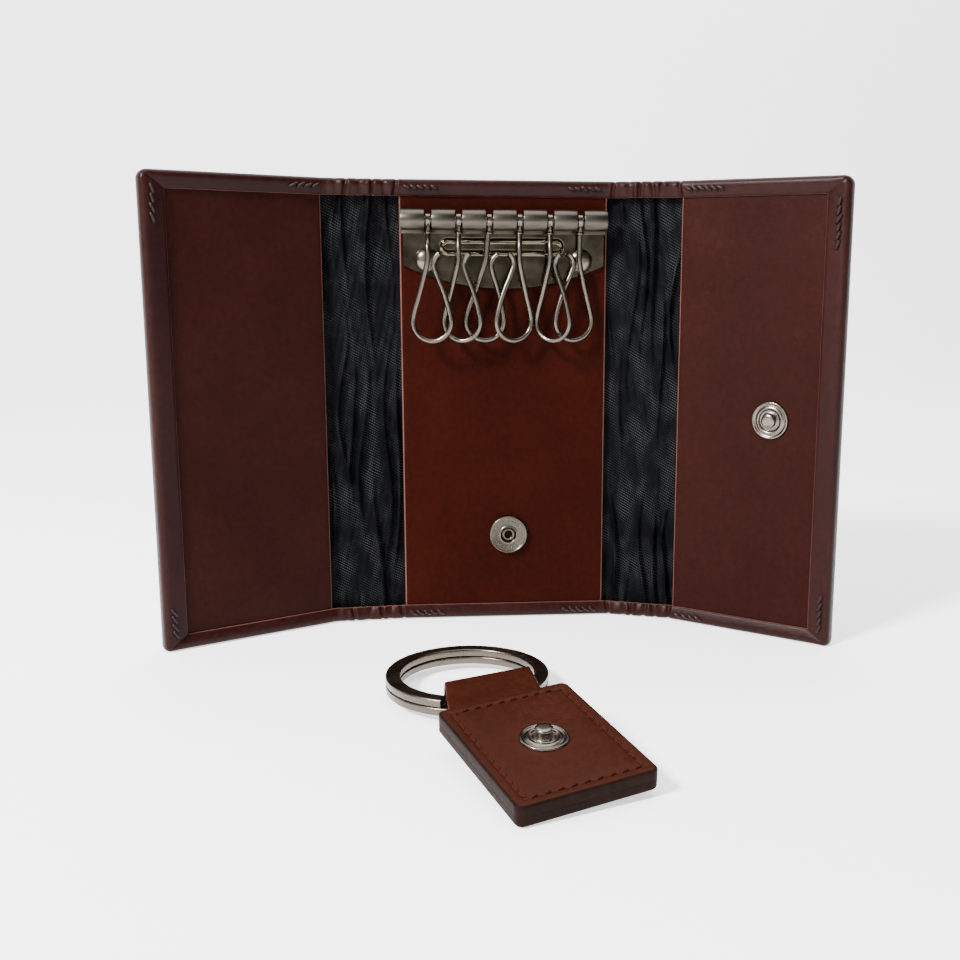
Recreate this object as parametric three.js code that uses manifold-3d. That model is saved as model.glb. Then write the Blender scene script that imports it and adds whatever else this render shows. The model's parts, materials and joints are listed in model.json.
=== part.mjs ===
// Leather trifold key case with six swinging key hooks, and its detachable leather key fob.
// Millimetres, +Z up. The case stands open on its bottom edge, its inside facing -Y, and the
// fob lies on the same surface in front of it. Every fold turns about a vertical hinge line.

import * as THREE from 'three';
import { mergeVertices } from 'three/addons/utils/BufferGeometryUtils.js';
import Module from 'manifold-3d';

const wasm = await Module();
wasm.setup();

const degrees = Math.PI / 180;

// Case panels. In a panel's own frame y = 0 is the front of its inner leather and +Y is outward.
const CASE_HEIGHT = 100;
const LEATHER = 1.0;
const BOARD = 0.6;
const LAYER_GAP = 0.1;
const COVER_FRONT = LEATHER + BOARD + 2 * LAYER_GAP;
const COVER_BACK = COVER_FRONT + LEATHER;
const HEM_FRONT = -LAYER_GAP - LEATHER;
const HEM_TOP = 3.7;
const HEM_BOTTOM = 3.3;
const HEM_SIDE = 5.0;
const HINGE_Y = 0.4;
const HINGE_GAP = 0.15;
const HEM_RELIEF = 1.6;
const EDGE_SETBACK = 1.0;
const LINING_FRONT = 1.2;
const LINING_BACK = 1.7;
const CENTRE_HALF = 23.1;
const CENTRE_HINGE_X = CENTRE_HALF + EDGE_SETBACK;
const FOLD_STRIP = 7.55;

// Each side: the strip and flap angles at rest, measured inward from flat open, and the angles
// that the inner and outer halves of the fold strip reach when the case is snapped shut.
const SIDES = [
  { name: 'left', sign: -1, stripAngle: 5.4, flapAngle: 29.0, flapWidth: 38.6, closed: [20, 88] },
  { name: 'right', sign: 1, stripAngle: 18.3, flapAngle: 36.8, flapWidth: 37.9, closed: [80, 100] },
];

// Key plate: rolled knuckles on a rod, hooks in the gaps between them.
const PLATE_HALF = 22.4;
const PLATE_BACK = -LAYER_GAP;
const PLATE_THICKNESS = 0.7;
const PLATE_SIDE_Z = 81.3;
const PLATE_ARC_DEPTH = 4.9;
const ROD_Y = -2.9;
const ROD_Z = 91.1;
const ROD_RADIUS = 0.8;
const BORE_RADIUS = 1.0;
const KNUCKLE_RADIUS = 2.4;
const KNUCKLE_LENGTH = 5.1;
const HOOK_PITCH = 6.7;
const HOOK_COUNT = 6;
const RIVET_X = 17.1;
const RIVET_Z = 82.5;

// Hooks: layer counts forward from the plate, side is where the free end lies, lean is how far
// the loop swings sideways and twist how far it is turned on its swivel, in degrees.
const WIRE_RADIUS = 0.575;
const LAYER_STEP = 1.5;
const HOOKS = [
  { layer: 2, side: 1, lean: 0.9, twist: 8 },
  { layer: 1, side: 1, lean: 1.0, twist: 20 },
  { layer: 0, side: 1, lean: 5.4, twist: 0 },
  { layer: 1, side: -1, lean: 1.2, twist: 20 },
  { layer: 1, side: 1, lean: 0.8, twist: 35 },
  { layer: 0, side: -1, lean: 0.9, twist: 12 },
];
const LOOP_CENTRE = { across: 1.0, drop: 21.9, radius: 4.2 };

// Snap fasteners.
const CENTRE_SNAP_Z = 19.95;
const FLAP_SNAP_Z = 48.6;
const STUD_FROM_EDGE = 22.35;

// Key fob: a stitched slab tipped up toward its leather loop, which holds the split ring.
const FOB = { x: -4.0, y: -105.6, yaw: 22.2, pitch: 7, roll: 3, width: 24.6, length: 31.6, thickness: 3.7 };
const FOB_CORNER = 2;
const LOOP_THICKNESS = 1.1;
const LOOP_TOP = 7.0;
const LOOP_BOTTOM = 0.05;
const RING = { x: -9.95, y: -49.4, bottom: 1.3, outer: 15.7, width: 2.8, coil: 1.5, step: 1.6 };
const RING_JOG_AZIMUTH = -65;
const RING_JOG_HALF = 0.12;

const COLOURS = {
  cover: { color: 0x4a2420, roughness: 0.5, metalness: 0 },
  face: { color: 0x4e1f14, roughness: 0.55, metalness: 0 },
  board: { color: 0x9a8a70, roughness: 0.9, metalness: 0 },
  lining: { color: 0x15171b, roughness: 0.7, metalness: 0 },
  nickel: { color: 0x9d988c, roughness: 0.3, metalness: 1 },
  fob: { color: 0x58281c, roughness: 0.5, metalness: 0 },
};

// Solids -------------------------------------------------------------------------------------

function toSolid(geometry) {
  const bare = geometry.clone();
  bare.deleteAttribute('normal');
  bare.deleteAttribute('uv');
  const merged = mergeVertices(bare, 1e-5);
  const index = merged.index.array;
  const triangles = [];
  for (let i = 0; i < index.length; i += 3) {
    const [a, b, c] = [index[i], index[i + 1], index[i + 2]];
    if (a !== b && b !== c && c !== a) triangles.push(a, b, c);
  }
  return new wasm.Manifold(new wasm.Mesh({
    numProp: 3,
    vertProperties: new Float32Array(merged.attributes.position.array),
    triVerts: new Uint32Array(triangles),
  }));
}

function toGeometry(solid) {
  const mesh = solid.getMesh();
  const geometry = new THREE.BufferGeometry();
  geometry.setAttribute('position', new THREE.BufferAttribute(mesh.vertProperties, 3));
  geometry.setIndex(new THREE.BufferAttribute(mesh.triVerts, 1));
  geometry.computeVertexNormals();
  return geometry;
}

function cut(geometry, ...tools) {
  return toGeometry(tools.reduce((solid, tool) => solid.subtract(toSolid(tool)), toSolid(geometry)));
}

function join(geometry, ...others) {
  return toGeometry(others.reduce((solid, other) => solid.add(toSolid(other)), toSolid(geometry)));
}

function box(x0, x1, y0, y1, z0, z1) {
  const geometry = new THREE.BoxGeometry(Math.abs(x1 - x0), y1 - y0, z1 - z0);
  return geometry.translate((x0 + x1) / 2, (y0 + y1) / 2, (z0 + z1) / 2);
}

function cylinderX(radius, length, x, y, z, sides) {
  const geometry = new THREE.CylinderGeometry(radius, radius, length, sides);
  return geometry.rotateZ(Math.PI / 2).translate(x, y, z);
}

function holeY(radius, x, z) {
  return new THREE.CylinderGeometry(radius, radius, 20, 16).translate(x, 0, z);
}

// A turned piece whose profile is [radius, height]; height points along -Y, or +Y when outward.
function turned(profile, x, y, z, outward = false) {
  const points = profile.map(([radius, height]) => new THREE.Vector2(radius, height));
  const geometry = new THREE.LatheGeometry(points, 16);
  if (!outward) geometry.rotateX(Math.PI);
  return toGeometry(toSolid(geometry)).translate(x, y, z);
}

// A plate whose outline lies in XZ, between two depths along Y.
function uprightPlate(shape, y0, y1) {
  const geometry = new THREE.ExtrudeGeometry(shape, { depth: y1 - y0, bevelEnabled: false, curveSegments: 16 });
  return geometry.rotateX(Math.PI / 2).translate(0, y1, 0);
}

function part(name, geometry, finish) {
  const mesh = new THREE.Mesh(geometry, new THREE.MeshStandardMaterial(COLOURS[finish]));
  mesh.name = name;
  return mesh;
}

// Case ---------------------------------------------------------------------------------------

// The outer leather of one section, from x0 to x1, with its hems turned over to the front.
function coverSection(x0, x1, closedEnd) {
  const sign = Math.sign(x1 - x0);
  const end = closedEnd ? x1 : x1 - sign * HINGE_GAP;
  const cavityEnd = closedEnd ? x1 - sign * LEATHER : x1 + sign;
  const windowEnd = closedEnd ? x1 - sign * HEM_SIDE : x1 + sign;
  const body = box(x0 + sign * HINGE_GAP, end, HEM_FRONT, COVER_BACK, 0, CASE_HEIGHT);
  const cavity = box(x0 - sign, cavityEnd, -LAYER_GAP, COVER_FRONT, LEATHER, CASE_HEIGHT - LEATHER);
  const window = box(x0 - sign, windowEnd, HEM_FRONT - 1, 0.1, HEM_BOTTOM, CASE_HEIGHT - HEM_TOP);
  const reliefs = [reliefAt(x0, sign)];
  if (!closedEnd) reliefs.push(reliefAt(x1, -sign));
  return cut(body, cavity, window, ...reliefs);
}

// Clears the hem in front of a hinge line so that the neighbouring section can fold in.
function reliefAt(x, inward) {
  return box(x - inward, x + inward * HEM_RELIEF, HEM_FRONT - 1, HINGE_Y, -1, CASE_HEIGHT + 1);
}

function faceLeather(x0, x1) {
  return box(x0, x1, 0, LEATHER, LEATHER + LAYER_GAP, CASE_HEIGHT - LEATHER - LAYER_GAP);
}

function board(x0, x1) {
  const front = LEATHER + LAYER_GAP;
  return box(x0, x1, front, front + BOARD, 1.5, CASE_HEIGHT - 1.5);
}

function lining(x0, x1) {
  const sign = Math.sign(x1 - x0);
  return box(
    x0 + sign * HINGE_GAP, x1 - sign * HINGE_GAP, LINING_FRONT, LINING_BACK, 1.1, CASE_HEIGHT - 1.1,
  );
}

function foldingSide(side) {
  const { name, sign, stripAngle, flapAngle, flapWidth } = side;
  const strip = sign * FOLD_STRIP;
  const flapEnd = sign * (EDGE_SETBACK + flapWidth);
  const flapEdge = sign * EDGE_SETBACK;
  const flapInside = flapEnd - sign * (LEATHER + LAYER_GAP);

  const innerStrip = new THREE.Group();
  innerStrip.position.set(sign * CENTRE_HINGE_X, HINGE_Y, 0);
  innerStrip.rotation.z = -sign * stripAngle * degrees;
  const outerStrip = new THREE.Group();
  outerStrip.position.x = strip;
  const flap = new THREE.Group();
  flap.position.x = strip;
  flap.rotation.z = -sign * (flapAngle - stripAngle) * degrees;
  innerStrip.add(outerStrip);
  outerStrip.add(flap);

  const fillers = [[innerStrip, 'inner_fold'], [outerStrip, 'outer_fold']];
  for (const [group, label] of fillers) {
    group.add(inPanel(part(`cover_${name}_${label}`, coverSection(0, strip, false), 'cover')));
    group.add(inPanel(part(`lining_${name}_${label}`, lining(0, strip), 'lining')));
  }

  const snapX = sign * (sign > 0 ? EDGE_SETBACK + STUD_FROM_EDGE : socketFromHinge());
  const pierce = holeY(1.6, snapX, FLAP_SNAP_Z);
  const recess = holeY(3.7, snapX, FLAP_SNAP_Z);
  const face = faceLeather(flapEdge, flapInside);
  const core = board(flapEdge + sign, flapInside - sign);
  flap.add(inPanel(part(`cover_${name}_flap`, cut(coverSection(0, flapEnd, true), pierce), 'cover')));
  flap.add(inPanel(part(`face_leather_${name}_flap`, sign > 0 ? cut(face, pierce) : face, 'face')));
  flap.add(inPanel(part(`board_${name}_flap`, cut(core, sign > 0 ? pierce : recess), 'board')));
  for (const fastener of sign > 0 ? flapStud(snapX) : flapSocket(snapX)) flap.add(inPanel(fastener));
  return innerStrip;
}

// How far out a side's flap hinge stands from the middle when the case is shut.
function closedReach({ closed }) {
  return CENTRE_HINGE_X + FOLD_STRIP * closed.reduce((sum, angle) => sum + Math.cos(angle * degrees), 0);
}

// The socket on the left flap sits where the right flap's stud lands when both are folded in.
function socketFromHinge() {
  const [left, right] = SIDES;
  return closedReach(left) + closedReach(right) - EDGE_SETBACK - STUD_FROM_EDGE;
}

function inPanel(mesh) {
  mesh.position.y = -HINGE_Y;
  return mesh;
}

// Snap fasteners -----------------------------------------------------------------------------

// A raised ring that a stud clicks into, its height above the leather given.
function socketProfile(height) {
  return [
    [1.95, 0.1], [4.45, 0.1], [4.45, height * 0.65], [4.05, height], [2.6, height * 0.95],
    [1.95, height * 0.75], [1.95, 0.1],
  ];
}

function studProfile(height) {
  return [
    [0, 0.1], [4.1, 0.1], [4.1, 0.45], [3.5, 0.5], [2.4, 0.35], [2.2, 0.7],
    [1.65, 0.8], [1.65, height - 0.4], [1.1, height - 0.05], [0, height],
  ];
}

// A domed cap, measured outward from the face it covers, with a post through to the stud.
function capProfile(postDepth, rise) {
  return [
    [0, -postDepth], [1.2, -postDepth], [1.2, 0.1], [5, 0.1], [4.8, rise * 0.6], [3, rise * 0.9],
    [0, rise],
  ];
}

function flapStud(x) {
  return [
    part('right_flap_snap_stud', turned(studProfile(1.85), x, 0, FLAP_SNAP_Z), 'nickel'),
    part('right_flap_snap_cap', turned(capProfile(2.75, 1.1), x, COVER_BACK, FLAP_SNAP_Z, true), 'nickel'),
  ];
}

function flapSocket(x) {
  const eyelet = [[1.05, -1.65], [3.4, -1.65], [3.4, -1.3], [1.45, -1.3], [1.45, -0.05], [1.05, -0.05], [1.05, -1.65]];
  return [
    part('left_flap_snap_socket', turned(socketProfile(0.8), x, COVER_BACK, FLAP_SNAP_Z, true), 'nickel'),
    part('left_flap_snap_eyelet', turned(eyelet, x, COVER_BACK, FLAP_SNAP_Z, true), 'nickel'),
  ];
}

function centreSnap() {
  const eyelet = [[0.9, -1.5], [3.2, -1.5], [3.2, -1.15], [1.5, -1.15], [1.6, 1.15], [0.9, 1.15], [0.9, -1.5]];
  return [
    part('centre_snap_socket', turned(socketProfile(1.3), 0.9, 0, CENTRE_SNAP_Z), 'nickel'),
    part('centre_snap_eyelet', turned(eyelet, 0.9, 0, CENTRE_SNAP_Z), 'nickel'),
  ];
}

// Key plate and hooks ------------------------------------------------------------------------

function centrePanel() {
  const rivets = [-RIVET_X, RIVET_X];
  const shanks = rivets.map((x) => holeY(1.35, x, RIVET_Z));
  const tails = rivets.map((x) => holeY(2.3, x, RIVET_Z));
  const cover = coverSection(-CENTRE_HINGE_X, CENTRE_HINGE_X, false);
  const face = cut(faceLeather(-CENTRE_HALF, CENTRE_HALF), ...shanks, holeY(1.8, 0.9, CENTRE_SNAP_Z));
  const core = cut(board(1 - CENTRE_HALF, CENTRE_HALF - 1), ...tails, holeY(3.5, 0.9, CENTRE_SNAP_Z));
  const rivetProfile = [
    [0, -1.5], [2.0, -1.5], [2.0, -1.15], [1.1, -1.15], [1.1, 0.9], [2.65, 0.9], [2.5, 1.6],
    [1.6, 2.05], [0, 2.15],
  ];
  const heads = rivets.map((x, i) => part(
    `plate_rivet_${i === 0 ? 'left' : 'right'}`, turned(rivetProfile, x, 0, RIVET_Z), 'nickel',
  ));
  return [
    part('cover_centre', cover, 'cover'),
    part('face_leather_centre', face, 'face'),
    part('board_centre', core, 'board'),
    part('key_plate', cut(keyPlate(), ...shanks), 'nickel'),
    part('hook_rod', cylinderX(ROD_RADIUS, 2 * PLATE_HALF - 0.2, 0, ROD_Y, ROD_Z, 12), 'nickel'),
    ...heads,
    ...centreSnap(),
  ];
}

function keyPlate() {
  const arcRadius = (PLATE_HALF ** 2 + PLATE_ARC_DEPTH ** 2) / (2 * PLATE_ARC_DEPTH);
  const arcCentreZ = PLATE_SIDE_Z - PLATE_ARC_DEPTH + arcRadius;
  const halfArc = Math.asin(PLATE_HALF / arcRadius);
  const outline = new THREE.Shape();
  outline.moveTo(PLATE_HALF, ROD_Z);
  outline.lineTo(-PLATE_HALF, ROD_Z);
  outline.absarc(0, arcCentreZ, arcRadius, -Math.PI / 2 - halfArc, -Math.PI / 2 + halfArc, false);
  const plate = uprightPlate(outline, PLATE_BACK - PLATE_THICKNESS, PLATE_BACK);
  const knuckles = [];
  for (let i = 0; i <= HOOK_COUNT; i += 1) {
    const x = (i - HOOK_COUNT / 2) * HOOK_PITCH;
    knuckles.push(cylinderX(KNUCKLE_RADIUS, KNUCKLE_LENGTH, x, ROD_Y, ROD_Z, 20));
  }
  const bore = cylinderX(BORE_RADIUS, 2 * PLATE_HALF + 4, 0, ROD_Y, ROD_Z, 12);
  return cut(join(plate, ...knuckles), bore);
}

// The swivel is a small eye on the rod with a collar below it; the wire hangs from the collar.
function swivel(x) {
  const eye = cylinderX(1.6, 1.1, x, ROD_Y, ROD_Z, 14);
  const collar = new THREE.CylinderGeometry(0.8, 0.8, 1.4, 10).rotateX(Math.PI / 2);
  collar.translate(x, ROD_Y, ROD_Z - 1.9);
  return cut(join(eye, collar), cylinderX(BORE_RADIUS, 3, x, ROD_Y, ROD_Z, 12));
}

// Centre line of one hook wire: down the stem, round the loop and up to the curled free end.
function hookPath(x, { layer, side, lean, twist }) {
  const { across, drop, radius } = LOOP_CENTRE;
  const points = [[0, 2.9], [0, 5.5], [-0.05, 8.6], [-0.85, 12.3], [-2.0, 16.7], [-2.95, 20.1]];
  for (let angle = 180; angle >= 0; angle -= 30) {
    points.push([across + radius * Math.cos(angle * degrees), drop + radius * Math.sin(angle * degrees)]);
  }
  points.push([4.65, 18.9], [3.4, 15.0], [1.9, 11.4], [1.3, 9.3], [1.75, 7.9], [2.7, 6.9]);
  return new THREE.CatmullRomCurve3(points.map(([sideways, down]) => {
    const layered = layer * LAYER_STEP * THREE.MathUtils.smoothstep(down, 2.9, 6.3);
    const forward = layered + sideways * Math.sin(twist * degrees);
    const reach = side * sideways * Math.cos(twist * degrees);
    const u = reach * Math.cos(lean * degrees) - down * Math.sin(lean * degrees);
    const v = down * Math.cos(lean * degrees) + reach * Math.sin(lean * degrees);
    return new THREE.Vector3(x + u, ROD_Y - forward, ROD_Z - v);
  }));
}

function hookWire(x, hook) {
  const section = new THREE.Shape();
  section.absarc(0, 0, WIRE_RADIUS, 0, 2 * Math.PI, false);
  return new THREE.ExtrudeGeometry(section, {
    extrudePath: hookPath(x, hook), steps: 38, curveSegments: 4, bevelEnabled: false,
  });
}

function keyHooks() {
  return HOOKS.flatMap((hook, i) => {
    const x = (i - (HOOK_COUNT - 1) / 2) * HOOK_PITCH;
    return [
      part(`hook_swivel_${i + 1}`, swivel(x), 'nickel'),
      part(`hook_wire_${i + 1}`, hookWire(x, hook), 'nickel'),
    ];
  });
}

// Fob ----------------------------------------------------------------------------------------

function fobSlab(z0, z1) {
  const [w, l, r] = [FOB.width, FOB.length, FOB_CORNER];
  const outline = new THREE.Shape();
  outline.absarc(w - r, r, r, -Math.PI / 2, 0, false);
  outline.absarc(w - r, l - r, r, 0, Math.PI / 2, false);
  outline.absarc(r, l - r, r, Math.PI / 2, Math.PI, false);
  outline.absarc(r, r, r, Math.PI, 1.5 * Math.PI, false);
  const slab = new THREE.ExtrudeGeometry(outline, { depth: z1 - z0, bevelEnabled: false, curveSegments: 4 });
  const hole = new THREE.CylinderGeometry(1.6, 1.6, 20, 16).rotateX(Math.PI / 2).translate(w / 2, l / 2, 0);
  return cut(slab.translate(0, 0, z0), hole);
}

function fobBody() {
  const group = new THREE.Group();
  group.position.set(FOB.x, FOB.y, 0);
  group.rotation.set(FOB.pitch * degrees, -FOB.roll * degrees, FOB.yaw * degrees, 'ZXY');
  const [half, mid] = [FOB.thickness / 2, LAYER_GAP / 2];
  const [x, y] = [FOB.width / 2, FOB.length / 2];
  const stud = turned(studProfile(2.3), 0, 0, 0, true).rotateX(Math.PI / 2).translate(x, y, FOB.thickness);
  const cap = turned(capProfile(FOB.thickness - 0.1, 1.3), 0, 0, 0, true).rotateX(-Math.PI / 2).translate(x, y, 0);
  group.add(part('fob_back_leather', fobSlab(0, half - mid), 'fob'));
  group.add(part('fob_front_leather', fobSlab(half + mid, FOB.thickness), 'fob'));
  group.add(part('fob_snap_stud', stud, 'nickel'));
  group.add(part('fob_snap_cap', cap, 'nickel'));
  return group;
}

// The two side profiles of the loop are closed rings of points; the band spans between them.
function fobLoop(body) {
  body.updateMatrixWorld(true);
  const edge = (u, w) => new THREE.Vector3(u, FOB.length + 0.2, w).applyMatrix4(body.matrixWorld);
  const left = loopProfile(edge(2.6, FOB.thickness), edge(2.6, 0), new THREE.Vector2(-14.2, -58.9));
  const right = loopProfile(edge(19.6, FOB.thickness), edge(19.6, 0), new THREE.Vector2(1.4, -51.8));
  return part('fob_ring_loop', loft(left, right), 'fob');
}

function loopProfile(top, bottom, far) {
  const length = Math.hypot(far.x - bottom.x, far.y - bottom.y);
  const outerRadius = (LOOP_TOP - LOOP_BOTTOM) / 2;
  const turn = length - outerRadius;
  const middle = LOOP_BOTTOM + outerRadius;
  const arc = (radius, steps) => steps.map((angle) => [
    turn + radius * Math.sin(angle * degrees), middle + radius * Math.cos(angle * degrees),
  ]);
  const outer = [[0, top.z], [turn * 0.5, top.z - 0.9], ...arc(outerRadius, [0, 30, 60, 90, 120, 150, 180]),
    [turn * 0.35, LOOP_BOTTOM], [0, bottom.z]];
  const inner = [[0, bottom.z + LOOP_THICKNESS], [turn * 0.35, LOOP_BOTTOM + LOOP_THICKNESS],
    ...arc(outerRadius - LOOP_THICKNESS, [180, 135, 90, 45, 0]),
    [turn * 0.5, top.z - 0.9 - LOOP_THICKNESS], [0, top.z - LOOP_THICKNESS]];
  return [...outer, ...inner].map(([along, z]) => {
    const t = along / length;
    const x = THREE.MathUtils.lerp(bottom.x, far.x, t);
    const y = THREE.MathUtils.lerp(bottom.y, far.y, t);
    return { along, point: new THREE.Vector3(x, y, z) };
  });
}

function loft(left, right) {
  const count = left.length;
  const flat = left.map(({ along, point }) => new THREE.Vector2(along, point.z));
  const caps = THREE.ShapeUtils.triangulateShape(flat, []);
  const index = [];
  for (const [a, b, c] of caps) {
    index.push(c, b, a, count + a, count + b, count + c);
  }
  for (let i = 0; i < count; i += 1) {
    const j = (i + 1) % count;
    index.push(j, i, count + i, j, count + i, count + j);
  }
  const geometry = new THREE.BufferGeometry();
  geometry.setFromPoints([...left, ...right].map(({ point }) => point));
  geometry.setIndex(index);
  geometry.computeVertexNormals();
  return geometry;
}

// A straight bar bent into nearly two flat turns, crossing from the lower to the upper coil.
function splitRing() {
  const turns = 2 - 2 * RING_JOG_HALF;
  const steps = 84;
  const geometry = new THREE.BoxGeometry(RING.width, RING.coil, turns, 1, 1, steps);
  const position = geometry.attributes.position;
  const middle = RING.outer - RING.width / 2;
  for (let i = 0; i < position.count; i += 1) {
    const turn = position.getZ(i) + 1;
    const azimuth = (RING_JOG_AZIMUTH + 360 * turn) * degrees;
    const rise = RING.step * THREE.MathUtils.smoothstep(turn, 1 - RING_JOG_HALF, 1 + RING_JOG_HALF);
    const radius = middle - position.getX(i);
    const z = RING.bottom + RING.coil / 2 + position.getY(i) + rise;
    position.setXYZ(i, RING.x + radius * Math.cos(azimuth), RING.y + radius * Math.sin(azimuth), z);
  }
  return part('split_ring', toGeometry(toSolid(geometry)), 'nickel');
}

// Assembly -----------------------------------------------------------------------------------

function assemble() {
  const model = new THREE.Group();
  model.add(...centrePanel(), ...keyHooks(), ...SIDES.map(foldingSide));
  const body = fobBody();
  model.add(body, fobLoop(body), splitRing());
  model.updateMatrixWorld(true);
  const bounds = new THREE.Box3().setFromObject(model, true);
  const centre = bounds.getCenter(new THREE.Vector3());
  model.position.set(-centre.x, -centre.y, -bounds.min.z);
  const object = new THREE.Group();
  object.add(model);
  return object;
}

export default assemble();
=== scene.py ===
# Leather trifold key case with six wire hooks, standing open, and its leather fob with a split ring.
# Shapes are worked out in millimetres from the case's own origin: x = 0 is the middle of the centre
# panel, y = 0 the front of its inner leather, with +Y towards the back, and z = 0 the surface below.

import json
import random
from math import copysign, cos, dist, hypot, pi, radians, sin

import bmesh
import bpy
import numpy as np
from mathutils import Matrix, Vector


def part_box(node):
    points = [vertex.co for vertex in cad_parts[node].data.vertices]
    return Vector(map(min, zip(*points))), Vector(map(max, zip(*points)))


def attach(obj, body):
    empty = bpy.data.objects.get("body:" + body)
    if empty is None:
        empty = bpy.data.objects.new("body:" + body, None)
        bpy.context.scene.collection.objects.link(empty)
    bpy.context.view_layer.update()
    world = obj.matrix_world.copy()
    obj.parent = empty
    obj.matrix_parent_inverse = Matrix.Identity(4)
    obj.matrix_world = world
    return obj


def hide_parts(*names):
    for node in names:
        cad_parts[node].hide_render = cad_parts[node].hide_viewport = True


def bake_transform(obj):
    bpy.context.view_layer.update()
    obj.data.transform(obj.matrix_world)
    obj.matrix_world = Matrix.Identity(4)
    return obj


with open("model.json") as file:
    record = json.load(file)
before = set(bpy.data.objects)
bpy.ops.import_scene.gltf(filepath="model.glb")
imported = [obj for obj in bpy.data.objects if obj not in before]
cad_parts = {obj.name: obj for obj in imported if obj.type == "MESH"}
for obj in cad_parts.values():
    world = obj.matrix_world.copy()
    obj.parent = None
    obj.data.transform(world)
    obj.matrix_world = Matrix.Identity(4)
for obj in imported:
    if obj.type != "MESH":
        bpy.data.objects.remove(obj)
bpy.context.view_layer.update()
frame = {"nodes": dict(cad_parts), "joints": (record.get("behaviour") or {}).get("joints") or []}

# ==== Sizes

MM = 0.001
face_low, face_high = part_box("face_leather_centre")
cover_low, cover_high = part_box("cover_centre")
ORIGIN = np.array([(face_low.x + face_high.x) / 2, face_low.y, 0.0])

HEIGHT = cover_high.z / MM
CENTRE_HALF = (face_high.x - face_low.x) / 2 / MM
BACK = (cover_high.y - face_low.y) / MM
HEM_FRONT = (cover_low.y - face_low.y) / MM
LEATHER = 1.0
GAP = 0.1
EDGE_SETBACK = 1.0
HEM_TOP = 3.7
HEM_BOTTOM = 3.3
HEM_SIDE = 5.0
WRAP = 6.0
EDGE_ROUND = 1.4
CORNER_RADIUS = {"high": 2.0, "low": 1.1}

# A crease bends the leather over this distance each side of its hinge line.
CREASE_REACH = 1.9
CREASES = ["inner_crease", "middle_crease", "outer_crease"]
FOLDS = ["inner_fold", "outer_fold"]
JOINTS = {joint["name"]: joint for joint in frame["joints"]}


def from_world(point):
    return (np.array(point) - ORIGIN) / MM


class Side:
    """One wing of the case: its three creases, measured on the flat leather, and what it bends."""

    def __init__(self, name, sign, flap_width, twill_slope):
        self.name = name
        self.sign = sign
        self.twill_slope = twill_slope
        joints = [JOINTS[f"{name}_{crease}"] for crease in CREASES]
        places = [from_world(joint["pos_m"]) for joint in joints]
        first = abs(places[0][0])
        second = first + dist(places[0][:2], places[1][:2])
        third = second + dist(places[1][:2], places[2][:2])
        self.creases = [first, second, third]
        self.hinge_y = places[0][1]
        self.angles = [-joint["range_deg"][0] for joint in joints]
        self.angles[1] = 0.0
        near, far = first + CREASE_REACH, third - CREASE_REACH
        self.spans = [(first - CREASE_REACH, near), (near, far), (far, third + CREASE_REACH)]
        self.bodies = ["centre", f"{name}_inner_fold", f"{name}_outer_fold", f"{name}_flap"]
        self.panel_edge = third + EDGE_SETBACK
        self.flap_start = self.spans[2][1]
        self.end = self.panel_edge + flap_width

    def fold(self, points):
        """Bends points of the flat leather (distance out, y, z) to where they stand at rest."""
        out = np.array(points, float)
        flat = out[..., 0].copy()
        for line, angle, (start, end) in reversed(list(zip(self.creases, self.angles, self.spans))):
            turned = np.clip((flat - start) / (end - start), 0, 1)
            turn = np.radians(angle) * turned * turned * (3 - 2 * turned)
            across = out[..., 0] - line
            depth = out[..., 1] - self.hinge_y
            out[..., 0] = line + across * np.cos(turn) + depth * np.sin(turn)
            out[..., 1] = self.hinge_y - across * np.sin(turn) + depth * np.cos(turn)
        out[..., 0] *= self.sign
        return out


# Each flap's width, and how much the twill is narrowed, or mirrored, to give its diagonals their lean.
LEFT = Side("left", -1, 38.6, -0.56)
RIGHT = Side("right", 1, 37.9, 0.6)
SIDES = [LEFT, RIGHT]

CENTRE_SNAP = (0.9, 19.95)
FLAP_SNAP_Z = 48.6
STUD_FROM_EDGE = 22.35

ROD_Y = -2.9
ROD_Z = 91.1
ROD_RADIUS = 0.8
HOOK_PITCH = 6.7
KNUCKLE_LENGTH = 5.1
KNUCKLE_RADIUS = 2.4
PLATE_HALF = 22.4
RIVET_X = 17.1
RIVET_Z = 82.5


# ==== Meshes


# Points that round to the same place at this fineness become one.
WELDS_PER_MM = 2000


def to_world(points):
    return np.asarray(points, float) * MM + ORIGIN


def smooth(value, low, high):
    t = np.clip((value - low) / (high - low), 0, 1)
    return t * t * (3 - 2 * t)


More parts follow.
